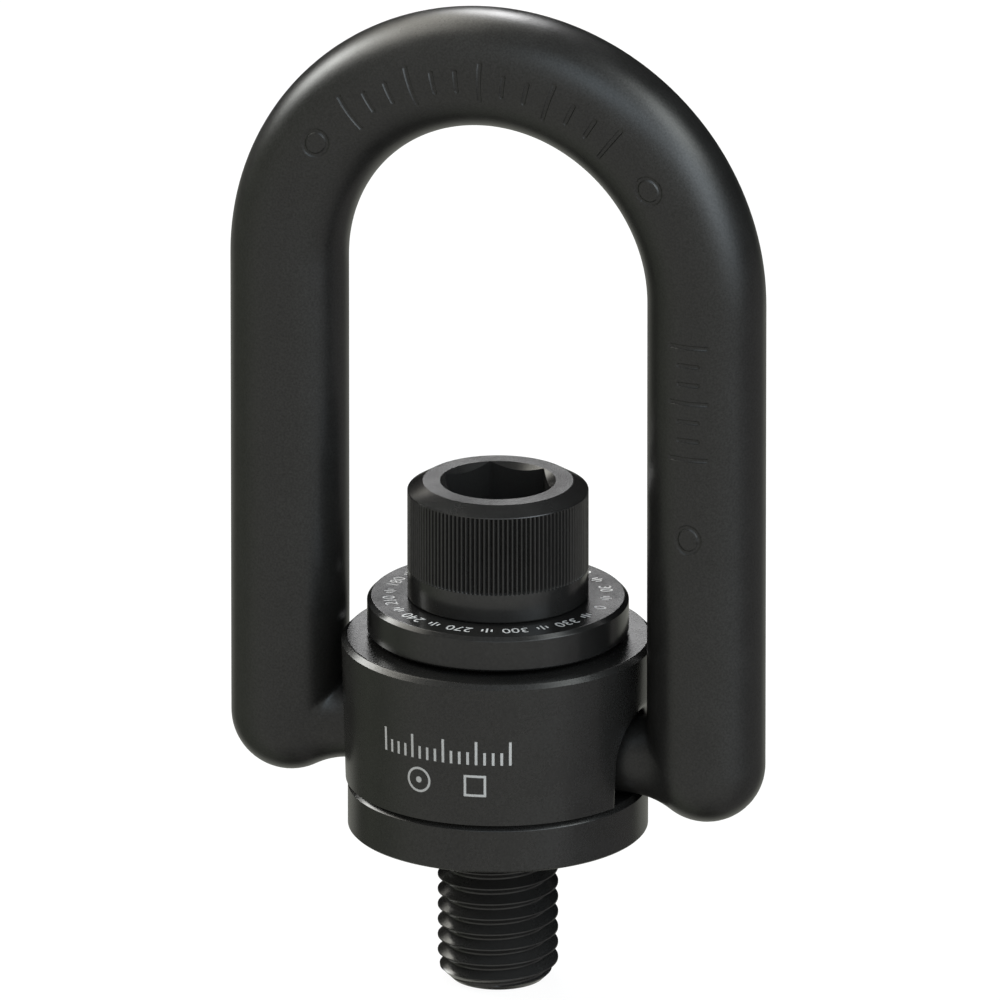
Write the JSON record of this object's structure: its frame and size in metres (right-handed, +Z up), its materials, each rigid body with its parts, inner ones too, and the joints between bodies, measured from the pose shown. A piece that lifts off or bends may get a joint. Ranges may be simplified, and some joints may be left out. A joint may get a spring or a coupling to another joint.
{
  "type": "swivel hoist ring",
  "caption": "Black swivel hoist ring: a round-bar U bail that pivots in a swivel body, held by a socket head cap screw through a flanged bushing.",
  "frame": {"origin": "centre of the bolt's tip, the object's lowest point", "axes": "+Z up along the bolt's axis, +X along the bail's trunnion axis, so the bail stands in the XZ plane at rest and -Y is the front"},
  "size_m": [0.089, 0.0494, 0.1609],
  "materials": {
    "black_machined": "satin black phosphate on machined steel",
    "black_forged": "satin black phosphate on forged steel, fine grain",
    "black_washer": "smooth satin black",
    "black_bolt": "smooth black oxide",
    "spring_steel": "dark oiled spring steel"
  },
  "bodies": {
    "bushing": {"flanged_bushing": "black_machined"},
    "body": {"swivel_body": "black_machined"},
    "bail": {"bail": "black_forged"},
    "washer": {"load_washer": "black_washer"},
    "retainer": {"retaining_ring": "spring_steel"},
    "bolt": {"socket_head_bolt": "black_bolt"}
  },
  "joints": [
    {"name": "body_swivel", "type": "hinge", "parent": "bushing", "child": "body", "pos_m": [0, 0, 0.0457], "axis": [0, 0, 1], "continuous": true},
    {"name": "bail_pivot", "type": "hinge", "parent": "body", "child": "bail", "pos_m": [0, 0, 0.03996], "axis": [1, 0, 0], "range_deg": [-90, 90]},
    {"name": "washer_spin", "type": "hinge", "parent": "bushing", "child": "washer", "pos_m": [0, 0, 0.0611], "axis": [0, 0, 1], "continuous": true},
    {"name": "bolt_lift", "type": "slide", "parent": "bushing", "child": "retainer", "axis": [0, 0, 1], "range_m": [0, 0.0008]},
    {"name": "bolt_spin", "type": "hinge", "parent": "retainer", "child": "bolt", "pos_m": [0, 0, 0.04], "axis": [0, 0, 1], "continuous": true}
  ]
}
